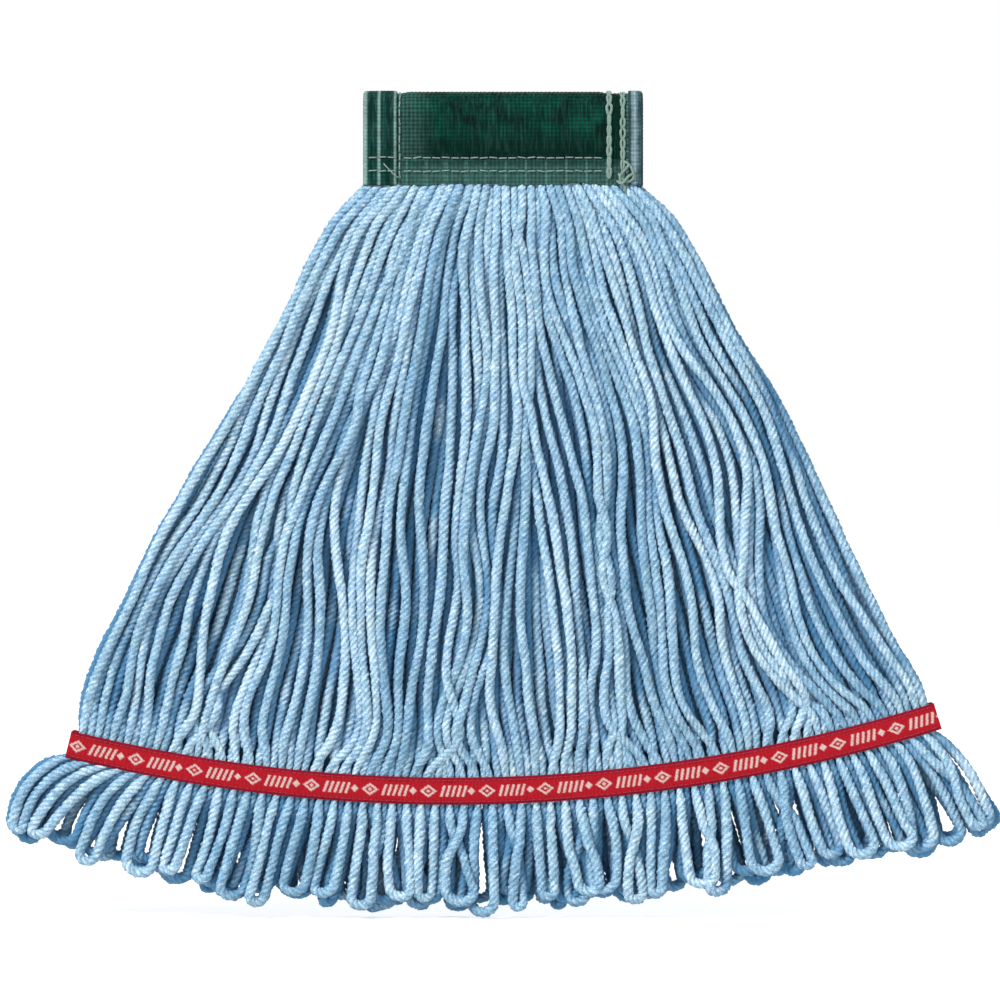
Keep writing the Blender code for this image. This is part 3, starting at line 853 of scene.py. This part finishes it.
def end_strip(name, half, side, end, width, look, waves, pale_lines, dark_lines):
    """The hem or the selvage: it closes one end of the headband and lies on the cover.

    Its pale and dark threads run the way of the warp: (distance from the end, half width)."""
    inward = -math.copysign(1, end)
    length, corner, thick, lift = BAND_LENGTH + 0.0003, 0.0016, 0.0009, 0.0013
    p = np.linspace(0, length, 120)
    # From 0 to 1 across the headband's end, to 2 round the corner and to 3 along the face.
    across = np.concatenate([np.linspace(0, 1, 10), 1 + np.linspace(0, 1, 7)[1:],
                             2 + np.linspace(0, 1, 40)[1:]])
    grid_p, grid_a = np.meshgrid(p, across, indexing="ij")
    low, top = band_points(side, end, p, inner=True), band_points(side, end, p, lift)
    away = unit(top - low)
    outer, inner = np.empty((2, *grid_p.shape, 3))
    for k, a in enumerate(across):
        if a <= 2:
            turn = max(a - 1, 0) * math.pi / 2
            outer[:, k] = top - away * corner * (1 - math.sin(turn))
            if a <= 1:
                outer[:, k] = low + (top - low) * (a * (1 - corner / COVER_RADIUS))
            outer[:, k, 0] = end + inward * corner * (1 - math.cos(turn))
            inner[:, k] = outer[:, k] - away * thick * math.sin(turn)
            inner[:, k, 0] = outer[:, k, 0] + inward * thick * math.cos(turn)
        else:
            over = end + inward * (corner + (a - 2) * (width - corner))
            roll = 0.0006 * max(0.0, (a - 2.92) / 0.08) ** 2
            outer[:, k] = band_points(side, over, p, lift - roll)
            inner[:, k] = band_points(side, over, p, lift - thick)
    relief, high = weave(grid_a * width, grid_p, 0.0022, 0.0003)
    shape = 0.00035 * np.sin(grid_p * waves) * ease(grid_a - 1.6)
    outer += unit(outer - inner) * (relief + shape)[..., None]
    inwards = (outer[..., 0] - end) * inward
    dark, pale = (np.clip(sum(np.clip(1.4 - abs(inwards - at) / wide, 0, 1)
                              for at, wide in lines), 0, 1) for lines in (dark_lines, pale_lines))
    piece = shell(f"{name}_{half}", outer, inner,
                  np.stack([high, dark, pale * (0.5 + 0.5 * high)], -1), look)
    return piece


STITCH_RADIUS = 0.00042
STITCH, LONG_STITCH, LINK = 0.0052, 0.0056, 0.0062  # pitches: the seam, the rows and the chains

# Loose thread, as lines of (x, down, lift) from the foot of the seam that it belongs to.
HEM_END = ((-0.0095, -0.0125, 0.0013), (-0.0078, -0.0105, 0.0024), (-0.0024, -0.005, 0.0024),
           (-0.0005, -0.0042, 0.001))
CHAIN_ENDS = (((0, -0.014, 0.0009), (0.0028, -0.0125, 0.0014), (0.0056, -0.0085, 0.0022),
               (0.0062, -0.004, 0.0024), (0.003, -0.0016, 0.002), (-0.0006, -0.0034, 0.0015),
               (-0.0026, -0.0066, 0.0012)),
              ((0.004, -0.012, 0.0022), (0.0014, -0.0088, 0.0026), (-0.0016, -0.005, 0.0022),
               (-0.001, -0.0012, 0.0016), (0.0012, 0.0018, 0.0012), (0.0008, 0.0044, 0.0012)),
              ((-0.0036, -0.0022, 0.0012), (-0.0006, -0.0006, 0.0026), (0.0034, -0.0048, 0.0032),
               (0.007, -0.0066, 0.0022)))


def loose(x, *lines):
    """Loose threads at the foot of a seam at x."""
    return [[(x + a, BAND_LENGTH + b, lift) for a, b, lift in line] for line in lines]


def lockstitches(along_x, fixed, start, end, pitch, lift):
    """Lockstitches in a line, each dipping into the cloth at its ends."""
    places = []
    for a in np.arange(start, end - pitch * 0.8, pitch):
        jog = random.normal(0, 0.00015, 2)
        first, last, dip = a + 0.1 * pitch, a + 0.9 * pitch, lift - 0.0011
        line = [(first, fixed + jog[0], dip), (first + 0.12 * pitch, fixed + jog[0], lift),
                (last - 0.12 * pitch, fixed + jog[1], lift), (last, fixed + jog[1], dip)]
        places.append([q if along_x else (q[1], q[0], q[2]) for q in line])
    return places


def chain(x, start, end):
    """Chain stitch: a column of open links, each caught in the next."""
    places, lift = [], 0.001
    for a in np.arange(start, end - LINK * 0.5, LINK):
        wide = 0.0009 + random.normal(0, 0.00018)
        up, down = a + 0.35 * LINK, a + 0.75 * LINK
        places.append([(x, a, lift - 0.0009), (x - wide, up, lift), (x - wide * 0.9, down, lift),
                       (x, a + 1.15 * LINK, lift - 0.0004), (x + wide * 0.9, down, lift),
                       (x + wide, up, lift), (x, a, lift - 0.0007)])
    return places


def headband(half, side):
    """One half of the headband; its two rows of stitches are attached to its leaf."""
    def sewn(name, places, radius=STITCH_RADIUS):
        """Short threads on the headband's face, along lines of (x, p, lift)."""
        mesh = Mesh()
        for line in places:
            points = band_points(side, *np.array(line).T)
            thread(mesh, curve_through(points, 0.0005), radius)
        piece = mesh.build(f"{name}_{half}", "thread")
        return piece

    pieces = {
        "headband_cover": cover(half, side),
        "headband_lining": lining(half, side),
        "yarn_core": pressed_core(half, side),
        "left_hem": end_strip("hem", half, side, -BAND_END, HEM_INNER_X + BAND_END, "hem",
                              700,
                              ((0.0012, 0.0012), (0.0094, 0.0008), (0.019, 0.0007)),
                              ((0.015, 0.0017), (0.005, 0.001))),
        "right_selvage": end_strip("selvage_strip", half, side, BAND_END,
                                   BAND_END - SELVAGE_INNER_X, "selvage", 1900,
                                   ((0.0052, 0.0016),), ((0.0006, 0.0009), (0.0082, 0.0007))),
        "left_seam": sewn("hem_seam", lockstitches(False, SEAM_X, 0.001, BAND_LENGTH - 0.001,
                                                   STITCH, 0.0006) + loose(SEAM_X, HEM_END)),
        "chain_stitch_inner": sewn("chain_inner", chain(CHAIN_X[0], 0.001, BAND_LENGTH - 0.002),
                                   0.0009),
        "chain_stitch_outer": sewn("chain_outer", chain(CHAIN_X[1], 0.003, BAND_LENGTH - 0.001)
                                   + loose(CHAIN_X[1], *CHAIN_ENDS), 0.0008),
    }
    for name, z in zip(("upper", "lower"), ROW_Z):
        row = []
        for start, end, lift in ((SEAM_X + 0.002, CHAIN_X[0] - 0.002, 0.0006),
                                 (-BAND_END + 0.003, HEM_INNER_X - 0.001, 0.0019)):
            row += lockstitches(True, FOLD_LENGTH - z, start, end, LONG_STITCH, lift)
        pieces[f"{name}_row_stitch"] = sewn(f"{name}_row", row)
    for node, piece in pieces.items():
        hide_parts(f"{node}_{half}")
        if node.startswith(("upper", "lower")):
            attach(piece, f"{half}_leaf")
            continue
        if half == "front":
            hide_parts(f"{node}_fold")
        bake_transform(piece)


# ---- Tail band

MOTIF_LENGTH = 0.0345
TAPE_SEAM = 0.0063  # from the tape's middle line to each of its sewing lines


def motif(along, across):
    """The tape's woven pattern, a diamond, slanting bars and a small diamond. 1 is pale."""
    a = along % MOTIF_LENGTH
    v = abs(across)
    ring = abs(a - 0.0055) / 0.005 + v / 0.0037
    pale = (ring < 1.0) & (ring > 0.6)
    pale |= abs(a - 0.0055) / 0.0012 + v / 0.0011 < 1
    pale |= abs(a - 0.031) / 0.0022 + v / 0.0022 < 1
    for middle in np.arange(5) * 0.0032 + 0.014:
        pale |= (abs(a - middle - 0.3 * across) < 0.00076) & (v < 0.0031)
    return pale.astype(float)


def tape(place, half, side, face):
    """A woven tape along the tail band, on the yarn's outer or inner face."""
    outwards = place == "outer"
    reach = TAPE_HALF_SPAN + 0.001
    x = np.linspace(-reach, reach, 1030)
    v, x = np.meshgrid(np.linspace(-TAPE_WIDTH / 2, TAPE_WIDTH / 2, 33), x, indexing="ij")
    px, pz = tape_point(x, v)
    pattern = motif(x + reach, v) * outwards
    edge = ease((abs(v) - 0.0058) / 0.0009)
    rib = 0.5 + 0.5 * np.sin(x / 0.0011 * math.pi)
    swell = 0.00035 * (wander(x.shape[1], 110) - 0.5) * 2
    swell = swell + 0.0005 * (wander(x.shape[1], 24) - 0.5)
    rounded = -0.0004 * (abs(v) / (TAPE_WIDTH / 2)) ** 4
    height = swell + rounded + 0.00012 * pattern + 0.0001 * edge + 0.00004 * rib
    toward = side * (1 if outwards else -1)
    outer, inner = (np.stack([px, side * face + toward * h, pz], -1)
                    for h in (height, swell + rounded - 0.0006))
    marks = np.stack([pattern, edge, rib], -1)
    piece = shell(f"tape_{place}_{half}", outer, inner, marks, "tape", "tape")
    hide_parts(f"tail_tape_{place}_{half}")
    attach(piece, f"{half}_fan")


def tape_seam(half, side, face, place, middle):
    """A sewing line along one edge of the outer tape."""
    mesh = Mesh()
    for x in np.arange(-TAPE_HALF_SPAN + 0.002, TAPE_HALF_SPAN - 0.004, 0.0033):
        xs = np.array([x, x + 0.0003, x + 0.0022, x + 0.0025])
        px, pz = tape_point(xs, np.full(4, middle))
        y = side * (face + np.array([-0.0002, 0.0003, 0.0003, -0.0002]))
        thread(mesh, np.stack([px, y, pz], 1), 0.00028, 5)
    piece = mesh.build(f"tape_seam_{place}_{half}", "tape_thread")
    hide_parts(f"tape_stitch_{place}_{half}")
    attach(piece, f"{half}_fan")


# ---- The whole head

def hinge(name):
    return next(j for j in frame["joints"] if j["name"] == name)


def mop_half(half, side):
    """One half of the mop."""
    headband(half, side)
    fan_pieces, foot_u, foot_y = fan(half, side)
    at = Vector(hinge(f"{half}_fan_swing")["pos_m"])
    for piece in fan_pieces:
        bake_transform(piece)
    for k, piece in enumerate(fringe(half, side, foot_u, foot_y)):
        joint = hinge(f"{half}_fringe_{k + 1}_swing")
        at, axis = Vector(joint["pos_m"]), Vector(joint["axis"]) * side
        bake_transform(piece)
    face = max(abs(v.y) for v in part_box(f"tail_tape_outer_{half}"))
    tape("outer", half, side, face)
    tape("inner", half, side, 0.0009)
    for place, middle in (("upper", TAPE_SEAM), ("lower", -TAPE_SEAM)):
        tape_seam(half, side, face, place, middle)


def studio():
    """A pale floor under the mop, a soft high light from the left, and the camera, straight on."""
    lo, hi = cad_box
    scene = bpy.context.scene
    scene.view_settings.view_transform = "Standard"
    bpy.ops.mesh.primitive_plane_add(size=60, location=(0, 0, lo.z - 0.006))
    floor = bpy.context.object
    floor.name = "floor"
    paint = Nodes("floor", 0.7)
    paint.shade({"Base Color": (0.45, 0.45, 0.45), "Emission Color": (1, 1, 1),
                 "Emission Strength": 0.58})
    floor.data.materials.append(paint.material)
    scene.world = world = bpy.data.worlds.new("studio")
    world.use_nodes = True
    tree = world.node_tree
    light = feed(tree, tree.nodes["Background"], {"Color": (0.82, 0.93, 1), "Strength": 0.6})
    seen = feed(tree, tree.nodes.new("ShaderNodeBackground"), {"Color": (1, 1, 1)})
    path = tree.nodes.new("ShaderNodeLightPath").outputs["Is Camera Ray"]
    mix = feed(tree, tree.nodes.new("ShaderNodeMixShader"), {0: path, 1: light[0], 2: seen[0]})
    feed(tree, tree.nodes["World Output"], {"Surface": mix[0]})
    for name, place, strength, spread in (("key", (-1.0, -1.05, 1.25), 3.45, 14),
                                          ("fill", (1.6, -1.0, 0.5), 0.5, 40),
                                          ("rear", (0.5, 1.6, 1.2), 1.4, 30)):
        sun = bpy.data.lights.new(name, "SUN")
        sun.energy, sun.angle = strength, math.radians(spread)
        put(name, sun).rotation_euler = (-Vector(place)).to_track_quat("-Z", "Y").to_euler()
    camera = bpy.data.cameras.new("camera")
    width, away = 0.589, 2.6  # what the frame takes in at the mop's front, and how far off it is
    camera.lens = camera.sensor_width * away / width
    scene.camera = eye = put("camera", camera)
    eye.location = (-0.0018, -away - 0.012, hi.z - 0.2415)
    eye.rotation_euler = (math.pi / 2, 0, 0)


studio()
mop_half("front", -1)
mop_half("back", 1)
